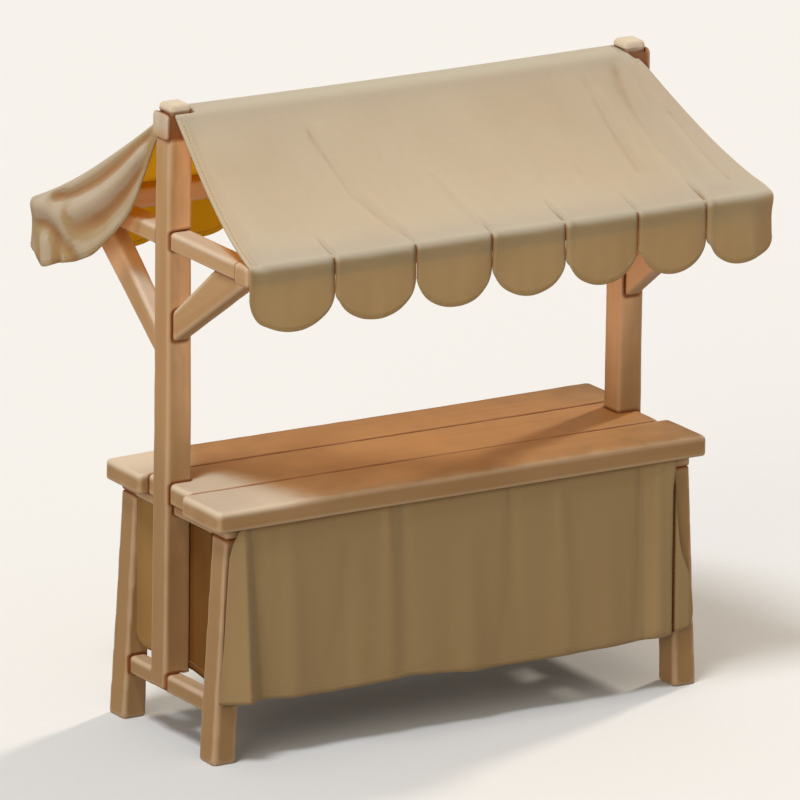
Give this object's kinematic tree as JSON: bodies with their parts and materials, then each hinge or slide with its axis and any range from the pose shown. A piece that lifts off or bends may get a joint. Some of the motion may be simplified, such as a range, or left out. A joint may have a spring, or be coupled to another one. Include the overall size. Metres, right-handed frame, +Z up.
{
  "type": "wooden market stall",
  "caption": "Open market stall: plank counter on wooden trestles, posts with knee braces, cloth gable canopy with scalloped valance, and drapes under the counter.",
  "frame": {"origin": "on the ground under the middle of the ridge", "axes": "+Z up, +X along the stall to the right end, -Y towards the customers"},
  "size_m": [2.2954, 1.1686, 2.252],
  "materials": {
    "timber": "worn planed timber",
    "canopy_cloth": "beige canvas",
    "drape_cloth": "beige canvas"
  },
  "bodies": {
    "root": {"counter_board_front": "timber", "counter_board_middle": "timber", "counter_board_back": "timber", "ridge_beam": "timber", "front_purlin": "timber", "back_purlin": "timber", "left_post": "timber", "left_bearer": "timber", "left_lower_rail": "timber", "left_tie_rail": "timber", "left_front_leg": "timber", "left_front_brace": "timber", "left_back_leg": "timber", "left_back_brace": "timber", "right_post": "timber", "right_bearer": "timber", "right_lower_rail": "timber", "right_tie_rail": "timber", "right_front_leg": "timber", "right_front_brace": "timber", "right_back_leg": "timber", "right_back_brace": "timber", "canopy": "canopy_cloth", "front_valance": "canopy_cloth", "back_valance": "canopy_cloth", "left_swag": "canopy_cloth", "right_swag": "canopy_cloth", "front_drape": "drape_cloth", "back_drape": "drape_cloth", "left_side_drape": "drape_cloth", "right_side_drape": "drape_cloth"}
  },
  "joints": []
}
